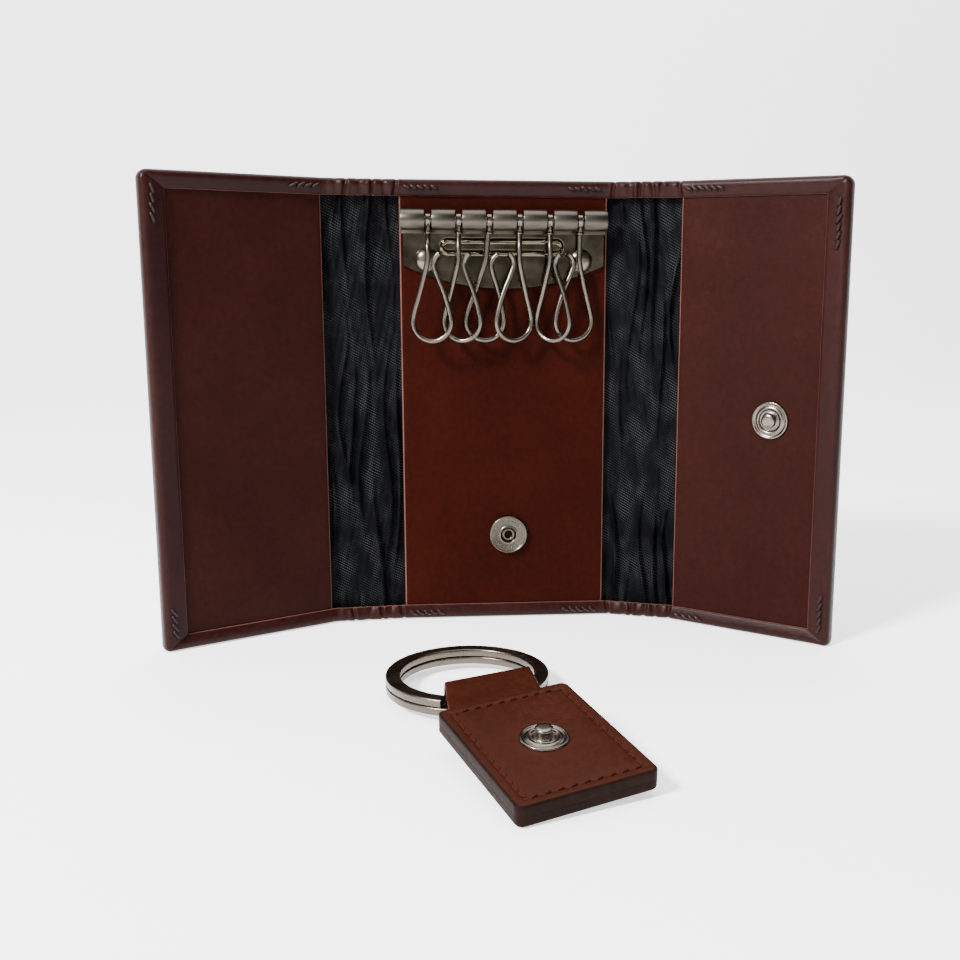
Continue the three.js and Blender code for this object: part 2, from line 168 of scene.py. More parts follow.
class Skin:
    """Grids of points that are welded into one mesh where they meet."""

    def __init__(self):
        self.points = []
        self.flat = []
        self.faces = []
        self.kinds = []

    def add(self, points, flat=None, kind=0, loop_rows=False, loop_columns=False):
        """Adds a grid, rows by columns; flat gives each point's place on the flat material."""
        points = np.asarray(points, float)
        rows, columns = points.shape[:2]
        start = sum(len(block) for block in self.points)
        self.points.append(points.reshape(-1, 3))
        flat = points[..., [0, 2]] if flat is None else np.asarray(flat, float)
        self.flat.append(flat.reshape(-1, 2))
        for i in range(rows if loop_rows else rows - 1):
            for j in range(columns if loop_columns else columns - 1):
                a, b = start + i * columns, start + (i + 1) % rows * columns
                k = (j + 1) % columns
                self.faces.append((a + j, a + k, b + k, b + j))
                self.kinds.append(kind)

    def tube(self, rings, kind=0, capped=False):
        """Adds rings joined one to the next, and closes the two ends if capped."""
        self.add(rings, kind=kind, loop_columns=True)
        if capped:
            self.fan(rings[0])
            self.fan(rings[-1])

    def fan(self, ring, kind=0):
        """Closes a ring of points with one face."""
        start = sum(len(block) for block in self.points)
        ring = np.asarray(ring, float)
        self.points.append(ring)
        self.flat.append(ring[:, [0, 2]])
        self.faces.append(tuple(range(start, start + len(ring))))
        self.kinds.append(kind)

    def piece(self, name, materials, slot, body=None, sharp=38, uv=False, replaces=None):
        """Welds the grids into an object, on a body and in place of a CAD node where they are named."""
        points = np.concatenate(self.points)
        flat = np.concatenate(self.flat)
        keys, first, back = np.unique(
            np.round(points * WELDS_PER_MM).astype(np.int64), axis=0, return_index=True, return_inverse=True
        )
        back = back.reshape(-1)
        faces, kinds, corners = [], [], []
        for face, kind in zip(self.faces, self.kinds):
            kept = [i for n, i in enumerate(face) if back[i] != back[face[n - 1]]]
            if len({back[i] for i in kept}) > 2:
                faces.append([int(back[i]) for i in kept])
                kinds.append(kind)
                corners.extend(kept)
        mesh = bpy.data.meshes.new(name)
        mesh.from_pydata(to_world(points[first]).tolist(), [], faces)
        for material in materials:
            mesh.materials.append(material)
        mesh.polygons.foreach_set("material_index", kinds)
        if uv:
            layer = mesh.uv_layers.new(name="cloth")
            layer.data.foreach_set("uv", flat[corners].astype(np.float32).reshape(-1))
        face_outwards(mesh)
        mesh.shade_smooth()
        mesh.set_sharp_from_angle(angle=radians(sharp))
        piece = put_in_scene(name, mesh)
        if body:
            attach(piece, body)
        if replaces:
            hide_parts(replaces)
        return piece


def put_in_scene(name, data):
    """Makes an object of a mesh, a light or a camera."""
    thing = bpy.data.objects.new(name, data)
    bpy.context.scene.collection.objects.link(thing)
    return thing


def face_outwards(mesh):
    work = bmesh.new()
    work.from_mesh(mesh)
    bmesh.ops.recalc_face_normals(work, faces=work.faces)
    work.to_mesh(mesh)
    work.free()


def lengths_along(line):
    """How far along a line each of its points lies."""
    return np.concatenate([[0], np.cumsum(np.linalg.norm(np.diff(line, axis=0), axis=1))])


def curve_through(points, steps):
    """A smooth line through the points, evenly spaced along its length."""
    points = np.asarray(points, float)
    padded = np.vstack([2 * points[0] - points[1], points, 2 * points[-1] - points[-2]])
    line = []
    for p0, p1, p2, p3 in zip(padded, padded[1:], padded[2:], padded[3:]):
        pairs = (p0, p1), (p1, p2), (p2, p3)
        gap0, gap1, gap2 = (max(np.linalg.norm(b - a), 1e-6) ** 0.5 for a, b in pairs)
        m1 = gap1 * ((p1 - p0) / gap0 - (p2 - p0) / (gap0 + gap1)) + (p2 - p1)
        m2 = gap1 * ((p3 - p2) / gap2 - (p3 - p1) / (gap1 + gap2)) + (p2 - p1)
        for t in np.linspace(0, 1, 24, endpoint=False):
            line.append(
                (2 * t**3 - 3 * t**2 + 1) * p1 + (t**3 - 2 * t**2 + t) * m1
                + (3 * t**2 - 2 * t**3) * p2 + (t**3 - t**2) * m2
            )
    line = np.array(line + [points[-1]])
    along = lengths_along(line)
    wanted = np.linspace(0, along[-1], steps)
    return np.stack([np.interp(wanted, along, line[:, axis]) for axis in range(3)], axis=1)


def sweep(skin, path, section, up, closed=False, round_ends=0.0):
    """Sweeps a closed section (across, up) along a path; up is a direction or one for each point."""
    path = np.asarray(path, float)
    if closed:
        tangent = np.roll(path, -1, axis=0) - np.roll(path, 1, axis=0)
    else:
        tangent = np.gradient(path, axis=0)
    tangent /= np.linalg.norm(tangent, axis=1, keepdims=True)
    ups = np.broadcast_to(np.asarray(up, float), path.shape)
    across = np.cross(tangent, ups)
    across /= np.linalg.norm(across, axis=1, keepdims=True)
    ups = np.cross(across, tangent)
    scale = np.ones(len(path))
    if round_ends:
        along = lengths_along(path)
        near = np.minimum(along, along[-1] - along)
        scale = np.sqrt(np.clip(1 - (1 - np.clip(near / round_ends, 0, 1)) ** 2, 0.02, 1))
    section = np.asarray(section, float)
    rings = (
        path[:, None, :]
        + across[:, None, :] * section[None, :, 0, None] * scale[:, None, None]
        + ups[:, None, :] * section[None, :, 1, None] * scale[:, None, None]
    )
    if closed:
        skin.add(rings, loop_columns=True, loop_rows=True)
    else:
        skin.tube(rings, capped=True)


def round_section(radius, sides=12):
    angles = np.linspace(0, 2 * pi, sides, endpoint=False)
    return np.stack([radius * np.cos(angles), radius * np.sin(angles)], axis=1)


def bevelled_section(width, thickness, edge, steps=3):
    """A rectangle with rounded edges, centred on the path."""
    points = []
    for turn, (sx, sy) in enumerate([(1, 1), (-1, 1), (-1, -1), (1, -1)]):
        for step in range(steps + 1):
            angle = pi / 2 * (turn + step / steps)
            points.append((
                sx * (width / 2 - edge) + edge * cos(angle),
                sy * (thickness / 2 - edge) + edge * sin(angle),
            ))
    return points


def turned(profile, centre, turns=48, outward=False):
    """A turned piece; its profile is (radius, height), with height out along -Y, or +Y if outward."""
    x, y, z = centre
    sign = 1 if outward else -1
    around = round_section(1, turns)
    return np.array([
        [(x + radius * u, y + sign * height, z + radius * v) for u, v in around]
        for radius, height in profile
    ])


def soft_profile(points, steps=4):
    """Rounds the corners of a turned profile with curves over the nearest 30 % of each side."""
    points = np.asarray(points, float)
    line = [points[0]]
    for before, corner, after in zip(points, points[1:], points[2:]):
        start = corner + (before - corner) * 0.3
        end = corner + (after - corner) * 0.3
        for t in np.linspace(0, 1, steps + 1):
            line.append((1 - t) ** 2 * start + 2 * t * (1 - t) * corner + t * t * end)
    line.append(points[-1])
    return np.array(line)


def turned_piece(name, grids, material, body, node, sharp=45):
    """A metal piece made of closed turned grids."""
    skin = Skin()
    for grid in grids:
        skin.tube(grid)
    skin.piece(name, [material], "nickel", body, sharp, replaces=node)


def across_crease(piece, side, index, kind):
    """Bakes a piece that spans a crease into place, and hides the fold's CAD node it stands in for, where
    there is one.
    """
    ends = side.fold([(place, side.hinge_y, HEIGHT / 2) for place in side.spans[index]])
    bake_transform(piece)
    if index < len(FOLDS):
        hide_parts(f"{kind}_{side.name}_{FOLDS[index]}")


# ==== Materials


class Shader:
    """A material and its node tree, with short ways to add and join nodes."""

    def __init__(self, name, colour, roughness, metallic=0.0, **sockets):
        self.material = bpy.data.materials.new(name)
        self.material.use_nodes = True
        self.material.diffuse_color = (*colour, 1)
        self.tree = self.material.node_tree
        self.surface = self.tree.nodes["Principled BSDF"]
        self.surface.inputs["Base Color"].default_value = (*colour, 1)
        self.surface.inputs["Roughness"].default_value = roughness
        self.surface.inputs["Metallic"].default_value = metallic
        for socket, value in sockets.items():
            self.surface.inputs[socket.replace("_", " ")].default_value = value

    def node(self, kind, inputs=None, **settings):
        node = self.tree.nodes.new(f"ShaderNode{kind}")
        for key, value in settings.items():
            setattr(node, key, value)
        for key, value in (inputs or {}).items():
            self.plug(value, node.inputs[key])
        return node

    def plug(self, value, socket):
        if isinstance(value, bpy.types.NodeSocket):
            self.tree.links.new(value, socket)
        else:
            socket.default_value = value

    def place(self, scale=(1, 1, 1)):
        """Coordinates in millimetres of the object's own frame, scaled."""
        where = self.node("TexCoord").outputs["Object"]
        size = tuple(axis / MM for axis in scale)
        return self.node("Mapping", {"Vector": where, "Scale": size}).outputs["Vector"]

    def noise(self, where, scale, detail=4.0, roughness=0.55):
        inputs = {"Vector": where, "Scale": scale, "Detail": detail, "Roughness": roughness}
        return self.node("TexNoise", inputs).outputs["Fac"]

    def math(self, operation, a, b=0.0):
        node = self.node("Math", operation=operation)
        self.plug(a, node.inputs[0])
        self.plug(b, node.inputs[1])
        return node.outputs["Value"]

    def add(self, a, b):
        return self.math("ADD", a, b)

    def subtract(self, a, b):
        return self.math("SUBTRACT", a, b)

    def multiply(self, a, b):
        return self.math("MULTIPLY", a, b)

    def repeat(self, value, length):
        """Rises from 0 to 1 and starts again, once over each length."""
        return self.math("FRACT", self.math("DIVIDE", value, length))

    def ramp(self, value, stops):
        node = self.node("ValToRGB", {"Fac": value})
        ramp = node.color_ramp
        while len(ramp.elements) < len(stops):
            ramp.elements.new(0.5)
        for element, (position, colour) in zip(ramp.elements, stops):
            element.position = position
            element.color = (*colour, 1)
        return node.outputs["Color"]

    def range(self, value, low, high, start=0.0, end=1.0):
        inputs = {"Value": value, "From Min": low, "From Max": high, "To Min": start, "To Max": end}
        return self.node("MapRange", inputs).outputs["Result"]

    def bump(self, height, strength, distance, below=None):
        inputs = {"Height": height, "Strength": strength, "Distance": distance}
        if below is not None:
            inputs["Normal"] = below
        return self.node("Bump", inputs).outputs["Normal"]

    def use(self, **outputs):
        for socket, value in outputs.items():
            self.plug(value, self.surface.inputs[socket.replace("_", " ")])
        return self.material


def leather(name, dark, base, light, roughness=0.42, gloss=0.3, grain=1.0):
    """Finished leather: faint clouds of colour, fine pebbled grain, and a soft uneven polish."""
    shader = Shader(name, base, roughness, Specular_IOR_Level=gloss)
    where = shader.place()
    cloud = shader.noise(where, 0.05, 5.0, 0.6)
    mottle = shader.noise(where, 0.9, 4.0, 0.6)
    mixed = shader.add(shader.multiply(cloud, 0.5), shader.multiply(mottle, 0.5))
    colour = shader.ramp(mixed, [(0.34, dark), (0.5, base), (0.68, light)])
    pebbles = shader.node("TexVoronoi", {"Vector": where, "Scale": 2.4 * grain}, feature="SMOOTH_F1")
    pores = shader.noise(where, 5.0 * grain, 3.0, 0.6)
    relief = shader.add(shader.multiply(pebbles.outputs["Distance"], 0.6), pores)
    polish = shader.range(mottle, 0.3, 0.7, roughness - 0.06, roughness + 0.08)
    wide = shader.bump(cloud, 0.2, 0.0003)
    return shader.use(
        Base_Color=colour, Roughness=polish, Normal=shader.bump(relief, 0.3, 0.0001, wide)
    )


# Twill, in millimetres: diagonal to diagonal, thread to thread, and one lozenge to the next.
TWILL_PITCH = 0.64
TWILL_DASH = 0.5
LOZENGE_CELL = (2.6, 12.0)


def twill(name):
    """Black twill with grey threads along its diagonals, woven with small plain lozenges; the threads are
    painted brighter in upright patches, a painted highlight for light caught on the cloth's folds.
    """
    shader = Shader(name, (0.002, 0.002, 0.0025), 0.6, Specular_IOR_Level=0.03)
    where = shader.node("UVMap", uv_map="cloth").outputs["UV"]
    wobble = shader.multiply(shader.subtract(shader.noise(where, 0.25, 2.0), 0.5), 0.7)
    split = shader.node("SeparateXYZ", {"Vector": where})
    along, up = split.outputs["X"], split.outputs["Y"]
    diagonal = shader.add(shader.add(along, up), wobble)
    ridge = shader.math("PINGPONG", shader.repeat(diagonal, TWILL_PITCH), 0.5)
    line = shader.range(ridge, 0.31, 0.41)
    crossing = shader.repeat(shader.subtract(along, up), TWILL_DASH)
    dashes = shader.range(shader.math("PINGPONG", crossing, 0.5), 0.05, 0.3, 0.3, 1.0)
    upright = shader.node("Mapping", {"Vector": where, "Scale": (1, 0.25, 1)}).outputs["Vector"]
    # Upright patches of brighter thread: painted highlight, standing in for light caught on the cloth's
    # folds.
    worn = shader.range(shader.noise(upright, 0.5, 3.0), 0.36, 0.64, 0.32, 1.0)
    thread = shader.multiply(shader.multiply(line, dashes), worn)
    lozenge = woven_lozenges(shader, along, up)
    bright = shader.math("MAXIMUM", thread, shader.multiply(lozenge, 0.32))
    colour = shader.ramp(bright, [
        (0.0, (0.0006, 0.0007, 0.0011)), (0.5, (0.0044, 0.0046, 0.0052)), (1.0, (0.047, 0.047, 0.048)),
    ])
    return shader.use(Base_Color=colour, Normal=shader.bump(thread, 0.4, 0.0001))


def woven_lozenges(shader, along, up):
    """Rows of small lozenge outlines, one in every cell of the cloth."""
    across_cell, up_cell = (
        shader.math("ABSOLUTE", shader.subtract(shader.math("PINGPONG", place, cell), cell / 2))
        for place, cell in ((along, LOZENGE_CELL[0]), (up, LOZENGE_CELL[1]))
    )
    size = shader.add(shader.multiply(across_cell, 0.9), up_cell)
    return shader.multiply(shader.math("LESS_THAN", size, 1.0), shader.math("GREATER_THAN", size, 0.65))


def nickel(name, base, roughness):
    """Nickel plate with faint smears and fine drawn lines that soften what it reflects."""
    shader = Shader(name, base, roughness, 1.0)
    smear = shader.noise(shader.place(), 0.25, 3.0, 0.5)
    drawn = shader.noise(shader.place((0.08, 0.9, 0.9)), 1.0, 2.0, 0.5)
    tint = shader.ramp(smear, [(0.3, tuple(c * 0.82 for c in base)), (0.7, base)])
    uneven = shader.add(smear, shader.multiply(drawn, 0.3))
    gloss = shader.range(uneven, 0.4, 0.9, roughness - 0.03, roughness + 0.06)
    return shader.use(Base_Color=tint, Roughness=gloss)


def thread(name, colour, roughness, gloss):
    """Waxed sewing thread with a fine twist, its grooves painted darker: painted shade."""
    shader = Shader(name, colour, roughness, Specular_IOR_Level=gloss)
    inputs = {"Vector": shader.place(), "Scale": 2.4, "Distortion": 0.6}
    twist = shader.node("TexWave", inputs, bands_direction="DIAGONAL").outputs["Fac"]
    # The twist's low bands, its grooves, are painted at half the colour: painted shade.
    shade = shader.ramp(twist, [(0.2, tuple(c * 0.5 for c in colour)), (0.8, colour)])
    return shader.use(Base_Color=shade, Normal=shader.bump(twist, 0.4, 0.00008))


COVER = leather(
    "cover_leather", (0.0086, 0.0018, 0.0015), (0.0125, 0.0026, 0.0020), (0.018, 0.0041, 0.0034),
    roughness=0.36, gloss=0.085,
)
FACE = leather(
    "face_leather", (0.0105, 0.0013, 0.0005), (0.0145, 0.0017, 0.0006), (0.019, 0.0026, 0.0010),
    roughness=0.46, gloss=0.022,
)
WING = leather(
    "wing_leather", (0.0100, 0.0021, 0.0014), (0.0136, 0.0027, 0.0018), (0.018, 0.0039, 0.0027),
    roughness=0.46, gloss=0.038,
)
RAW_EDGE = leather(
    "cut_leather_edge", (0.055, 0.021, 0.016), (0.075, 0.029, 0.022), (0.10, 0.041, 0.031),
    roughness=0.6, gloss=0.2, grain=2.0,
)
FOB_FACE = leather(
    "fob_leather", (0.0172, 0.0036, 0.0016), (0.0226, 0.0046, 0.0020), (0.030, 0.0067, 0.0031),
    roughness=0.44, gloss=0.05,
)
FOB_EDGE = leather(
    "painted_edge", (0.0050, 0.0020, 0.0014), (0.0078, 0.0030, 0.0021), (0.014, 0.0060, 0.0044),
    roughness=0.5, gloss=0.03, grain=2.0,
)
LINING = twill("twill_lining")
BOARD = leather(
    "stiffener_board", (0.30, 0.24, 0.16), (0.36, 0.30, 0.21), (0.42, 0.35, 0.26),
    roughness=0.85, gloss=0.2, grain=3.0,
)
NICKEL = nickel("nickel", (0.112, 0.096, 0.078), 0.27)
SATIN_NICKEL = nickel("satin_nickel", (0.072, 0.064, 0.052), 0.34)
BRIGHT_NICKEL = nickel("bright_nickel", (0.14, 0.122, 0.102), 0.24)
PLATE_NICKEL = nickel("plate_nickel", (0.10, 0.085, 0.058), 0.13)
CASE_THREAD = thread("case_thread", (0.016, 0.0052, 0.0046), 0.38, 0.16)
FOB_THREAD = thread("fob_thread", (0.034, 0.0067, 0.0029), 0.55, 0.05)


# ==== Outer leather

# The strips' grids have a column about this often, so that the folds in their hems are smooth.
STRIP_STEP = 0.16

# Folds pressed into the hems where the strips bend: distance out, depth, width and slant.
HEM_CREASES = {
    "left": [
        (23.5, 0.5, 0.34, 0.2), (26.6, 0.35, 0.5, -0.15), (28.8, 0.6, 0.3, 0.1), (31.9, 0.3, 0.6, -0.25),
        (34.4, 0.6, 0.36, 0.18), (36.9, 0.25, 0.5, -0.1),
    ],
    "right": [
        (24.9, 0.45, 0.36, -0.2), (28.1, 0.3, 0.6, 0.22), (30.7, 0.65, 0.32, -0.1), (33.2, 0.5, 0.42, 0.2),
        (35.7, 0.4, 0.34, -0.22), (39.6, 0.45, 0.4, 0.12),
    ],
}


def crease_depth(side, points, high):
    """How far the hem is pressed in at each point, where the strip folds."""
    distance = points[..., 0]
    from_edge = HEIGHT - points[..., 2] if high else points[..., 2]
    depth = np.zeros_like(distance)
    for index, (place, amount, width, slant) in enumerate(HEM_CREASES[side.name]):
        middle = place + slant * from_edge + (0.4 * sin(index * 2.1) if not high else 0)
        depth += 0.62 * amount * np.exp(-(((distance - middle) / (1.15 * width)) ** 2))
        for beside in (-2.2, 2.4):
            shoulder = (distance - middle - beside * width) / (1.5 * width)
            depth -= 0.36 * amount * np.exp(-(shoulder**2))
    return depth


def skived(distance, hem):
    """The front of the turned-over edge, which is pared thinner towards its inner edge."""
    return HEM_FRONT + 0.6 * ((distance - EDGE_ROUND) / (hem - EDGE_ROUND)) ** 1.3


def rim_rows(hem):
    """The wrapped edge in section, as (follows the front, distance in from the edge, y)."""
    rows = [(False, WRAP, BACK - LEATHER), (False, 1.0, BACK - LEATHER)]
    rows += [(True, 1.0, HEM_FRONT + LEATHER), (True, hem, HEM_FRONT + LEATHER)]
    rows += [(True, hem, skived(hem, hem) + 0.2), (True, hem - 0.06, skived(hem, hem) + 0.06)]
    for distance in np.linspace(hem - 0.2, EDGE_ROUND + 0.2, 9):
        rows.append((True, distance, skived(distance, hem)))
    middle, half = (BACK + HEM_FRONT) / 2, (BACK - HEM_FRONT) / 2
    for turn in np.radians(np.linspace(-90, 90, 17)):
        swell = abs(cos(turn)) ** 0.75
        lift = copysign(abs(sin(turn)) ** 0.75, turn)
        rows.append((turn <= 0, EDGE_ROUND * (1 - swell), middle + half * lift))
    rows += [(False, distance, BACK) for distance in np.linspace(EDGE_ROUND + 0.3, WRAP, 4)]
    return rows


def rim_grid(columns, hem):
    """Places the wrapped edge's section at each column: (outer, front inner, back inner) in (s, z)."""
    grid = []
    for follows_front, distance, y in rim_rows(hem):
        row = []
        for outer, front_inner, back_inner in columns:
            inner = np.array(front_inner if follows_front else back_inner, float)
            outer = np.array(outer, float)
            reach = np.linalg.norm(inner - outer)
            nominal = hem if follows_front else WRAP
            share = distance / reach
            if distance > EDGE_ROUND:
                edge = EDGE_ROUND / reach
                share = edge + (distance - EDGE_ROUND) / (nominal - EDGE_ROUND) * (1 - edge)
            place = outer + (inner - outer) * share
            row.append((place[0], y, place[1]))
        grid.append(row)
    return np.array(grid)


def add_rim(skin, grid):
    """Adds the wrapped edge to a skin; the cut that ends it on the front takes the second material."""
    under, cut = 3, 5
    skin.add(grid[:under + 1])
    skin.add(grid[under:cut + 1], kind=1)
    skin.add(grid[cut:])


def straight_columns(distances, high):
    if high:
        return [((s, HEIGHT), (s, HEIGHT - HEM_TOP), (s, HEIGHT - WRAP)) for s in distances]
    return [((s, 0), (s, HEM_BOTTOM), (s, WRAP)) for s in distances]


def plates(skin, distances, shape):
    """The flat outside and inside of the outer leather, between the wrapped edges."""
    for y in (BACK, BACK - LEATHER):
        heights = np.linspace(WRAP, HEIGHT - WRAP, 30)
        grid = [[(s, y, z) for s in distances] for z in heights]
        skin.add(shape(np.array(grid)))


def unevenness(points):
    """Slight waves that hand-made leather has, in millimetres."""
    s, z = points[..., 0], points[..., 2]
    return 0.05 * np.sin(s * 0.31 + 1.1) * np.cos(z * 0.17) + 0.04 * np.sin(z * 0.43 + s * 0.11)


def worn(points, side):
    """Presses the creases into the front of the hem, and pulls the edge in beside them."""
    out = np.array(points, float)
    front = smooth(-out[..., 1], -1.8, 0.9)
    above = out[..., 2] > HEIGHT / 2
    depth = np.where(above, crease_depth(side, out, True), crease_depth(side, out, False))
    from_middle = np.abs(out[..., 2] - HEIGHT / 2)
    in_hem = from_middle > HEIGHT / 2 - WRAP
    edge = smooth(from_middle, HEIGHT / 2 - 1.5, HEIGHT / 2) * 0.45
    tuck = (1 - smooth(from_middle, HEIGHT / 2 - HEM_BOTTOM, HEIGHT / 2 - 2)) * front * 0.6 * in_hem
    out[..., 1] += depth * front * in_hem
    out[..., 2] -= np.sign(out[..., 2] - HEIGHT / 2) * np.clip(depth, 0, 1) * (edge - tuck)
    return out


def hemmed(distances, shape):
    """A stretch of the outer leather between two upright lines, with its edges wrapped."""
    skin = Skin()
    for high, hem in ((True, HEM_TOP), (False, HEM_BOTTOM)):
        add_rim(skin, shape(rim_grid(straight_columns(distances, high), hem)))
    plates(skin, distances, shape)
    return skin


def corner_columns(end, high):
    """Columns round an outer corner of a flap, from its horizontal edge to its side edge."""
    hem = HEM_TOP if high else HEM_BOTTOM
    radius = CORNER_RADIUS["high" if high else "low"]
    front_inner = np.array((end - HEM_SIDE, hem))
    back_inner = np.array((end - WRAP, WRAP))
    outers = [(s, 0) for s in np.linspace(end - WRAP, end - radius, 8)[1:-1]]
    for turn in np.radians(np.linspace(0, 90, 13)):
        outers.append((end - radius + radius * sin(turn), radius - radius * cos(turn)))
    outers += [(end, z) for z in np.linspace(radius, WRAP, 8)[1:-1]]
    columns = []
    for outer in outers:
        front = (front_inner[0], outer[1]) if outer[1] >= hem else (min(outer[0], front_inner[0]), hem)
        columns.append([outer, front, tuple(back_inner)])
    if high:
        columns = [[(s, HEIGHT - z) for s, z in column] for column in columns]
    return columns


def mitred(grid, end):
    """Sinks a seam along the line from a corner of the hem's opening to the leather's corner."""
    s, z = grid[..., 0], grid[..., 2]
    for hem, height in ((HEM_BOTTOM, z), (HEM_TOP, HEIGHT - z)):
        along = np.array((HEM_SIDE, -hem)) / hypot(HEM_SIDE, hem)
        across = (s - (end - HEM_SIDE)) * along[1] - (height - hem) * along[0]
        beside = (s > end - HEM_SIDE - 0.3) & (height < hem + 0.3)
        grid[..., 1] += 0.12 * np.exp(-((across / 0.16) ** 2)) * beside * smooth(-grid[..., 1], 0.0, 0.9)
    return grid


def flap_cover(side):
    """A flap, with its edge wrapped on three sides."""
    skin = Skin()
    start, end = side.flap_start, side.end
    straight = np.linspace(start, end - WRAP, 26)
    heights = np.linspace(WRAP, HEIGHT - WRAP, 30)

    def shape(grid):
        return side.fold(mitred(worn(grid, side), end))

    rising = [((end, z), (end - HEM_SIDE, z), (end - WRAP, z)) for z in heights]
    low = straight_columns(straight, False) + corner_columns(end, False) + rising[:15]
    high = straight_columns(straight, True) + corner_columns(end, True) + rising[:13:-1]
    for columns, hem in ((low, HEM_BOTTOM), (high, HEM_TOP)):
        add_rim(skin, shape(rim_grid(columns, hem)))
    plates(skin, straight, shape)
    return skin


def outer_leather():
    """The centre, three pieces a side across the creases, and the two flaps."""
    materials, slot = [COVER, RAW_EDGE], "cover_leather"
    half = LEFT.spans[0][0]
    skin = hemmed(np.linspace(-half, half, 61), np.array)
    skin.piece("outer_leather_centre", materials, slot, "centre", replaces="cover_centre")
    for side in SIDES:
        def shape(grid, side=side):
            return side.fold(worn(grid, side))

        for index, label in enumerate(CREASES):
            first, last = side.spans[index]
            step = (last - first) / round((last - first) / STRIP_STEP)
            skin = hemmed(np.arange(first, last + 1e-6, step), shape)
            piece = skin.piece(f"outer_leather_{side.name}_{label}", materials, slot)
            across_crease(piece, side, index, "cover")
        name, node = f"outer_leather_{side.name}_flap", f"cover_{side.name}_flap"
        flap_cover(side).piece(name, materials, slot, side.bodies[3], replaces=node)


# ==== Inner leather and boards


def slab(skin, s0, s1, z0, z1, y0, y1, edge, shape, columns=50, rows=60):
    """A thin sheet with rounded long edges; its cut edges take the second material."""
    angles = np.radians(np.linspace(-90, 0, 5))
    left = [(s0 + edge * (1 - cos(a)), y0 + edge * (1 + sin(a))) for a in angles]
    front_s = np.linspace(s0 + edge, s1 - edge, columns)
    heights = np.linspace(z0, z1, rows)
    skin.add(shape(np.array([[(s, y0, z) for s in front_s] for z in heights])))
    skin.add(shape(np.array([[(s, y1, z) for s in front_s] for z in heights])))
    rim = left + [(s0, y1 - edge), (s0 + edge, y1)]
    rims = (rim, [(s0 + s1 - s, y) for s, y in rim])
    for side_rim in rims:
        skin.add(shape(np.array([[(s, y, z) for s, y in side_rim] for z in heights])), kind=1)
    for z in (z0, z1):
        skin.add(shape(np.array([[(s, y, z) for s in front_s] for y in (y0, y1)])), kind=1)
        for side_rim in rims:
            skin.fan(shape(np.array([(s, y, z) for s, y in side_rim])), kind=1)


def waved(points):
    """Inner leather is glued down, so its front waves only a little."""
    out = np.array(points, float)
    out[..., 1] += unevenness(out) * smooth(-out[..., 1], -0.9, -0.1) * 0.7
    return out


def inner_leather():
    panels = [("centre", "centre", -CENTRE_HALF, CENTRE_HALF, FACE, waved)]
    for side in SIDES:
        far = side.end - LEATHER - GAP

        def shape(grid, side=side):
            return side.fold(waved(grid))

        panels.append((f"{side.name}_flap", side.bodies[3], side.panel_edge, far, WING, shape))
    for label, body, near, far, face, shape in panels:
        skin = Skin()
        slab(skin, near, far, LEATHER + GAP, HEIGHT - LEATHER - GAP, 0, LEATHER, 0.3, shape)
        name, node = f"inner_leather_{label}", f"face_leather_{label}"
        skin.piece(name, [face, RAW_EDGE], "face_leather", body, replaces=node)


# ==== Lining

LINING_Y = 1.35
# How far each outer sheet goes beyond the middle one, under the inner leather.
LINING_REACH = 12.0
# How many long upright folds the loose cloth of each side gathers into.
WRINKLES = 7


def wrinkle_height(side, s, z):
    """Loose cloth between the panels gathers into long upright folds."""
    rng = random.Random({"left": 4, "right": 9}[side.name])
    height = np.zeros_like(s)
    width = side.panel_edge - CENTRE_HALF
    for index in range(WRINKLES):
        home = CENTRE_HALF + width * (index + 0.5 + rng.uniform(-0.3, 0.3)) / WRINKLES
        sway = rng.uniform(0.6, 1.5)
        length = rng.uniform(38, 70)
        phase = rng.uniform(0, 6.3)
        slant = rng.uniform(-0.035, 0.035)
        narrow = rng.uniform(0.3, 0.6)
        tall = rng.uniform(0.8, 1.6)
        fade = rng.uniform(0, 6.3)
        line = home + sway * np.sin(2 * pi * z / length + phase) + slant * (z - HEIGHT / 2)
        strength = 0.45 + 0.55 * np.sin(2 * pi * z / rng.uniform(45, 90) + fade)
        height += tall * np.clip(strength, 0.08, 1) * np.exp(-(((s - line) / narrow) ** 2))
    ripple = 0.12 * np.sin(z * 0.9 + s * 1.7) * np.sin(s * 2.3 + 0.5)
    return height + ripple


def lining_shape(side, grid):
    out = np.array(grid, float)
    s, z = out[..., 0].copy(), out[..., 2]
    near, far = CENTRE_HALF, side.panel_edge
    loose = smooth(s, near + 0.1, near + 1.3) * (1 - smooth(s, far - 1.3, far - 0.1))
    ends = smooth(z, 1.5, HEM_BOTTOM + 2.5) * (1 - smooth(z, HEIGHT - HEM_TOP - 2.5, HEIGHT - 1.5))
    out[..., 1] -= np.clip(wrinkle_height(side, s, z), -0.2, 1.9) * loose * (0.35 + 0.65 * ends)
    return side.fold(out)


def lining():
    heights = np.linspace(1.2, HEIGHT - 1.2, 240)
    for side in SIDES:
        near, far = side.spans[1]
        edges = [(near - LINING_REACH, near), (near, far), (far, far + LINING_REACH)]
        for index, (first, last) in enumerate(edges):
            distances = np.linspace(first, last, round((last - first) / 0.17) + 1)
            grid = np.array([[(s, LINING_Y, z) for s in distances] for z in heights])
            flat = np.stack([grid[..., 0] * side.twill_slope, grid[..., 2]], axis=-1)
            skin = Skin()
            skin.add(lining_shape(side, grid), flat)
            name = f"lining_{side.name}_{CREASES[index]}"
            piece = skin.piece(name, [LINING], "lining", uv=True, sharp=80)
            turn_to_front(piece)
            across_crease(piece, side, index, "lining")


def turn_to_front(piece):
    """An open cloth shows its face to -Y."""
    total = sum(face.normal.y * face.area for face in piece.data.polygons)
    if total > 0:
        piece.data.flip_normals()


# ==== Stitches


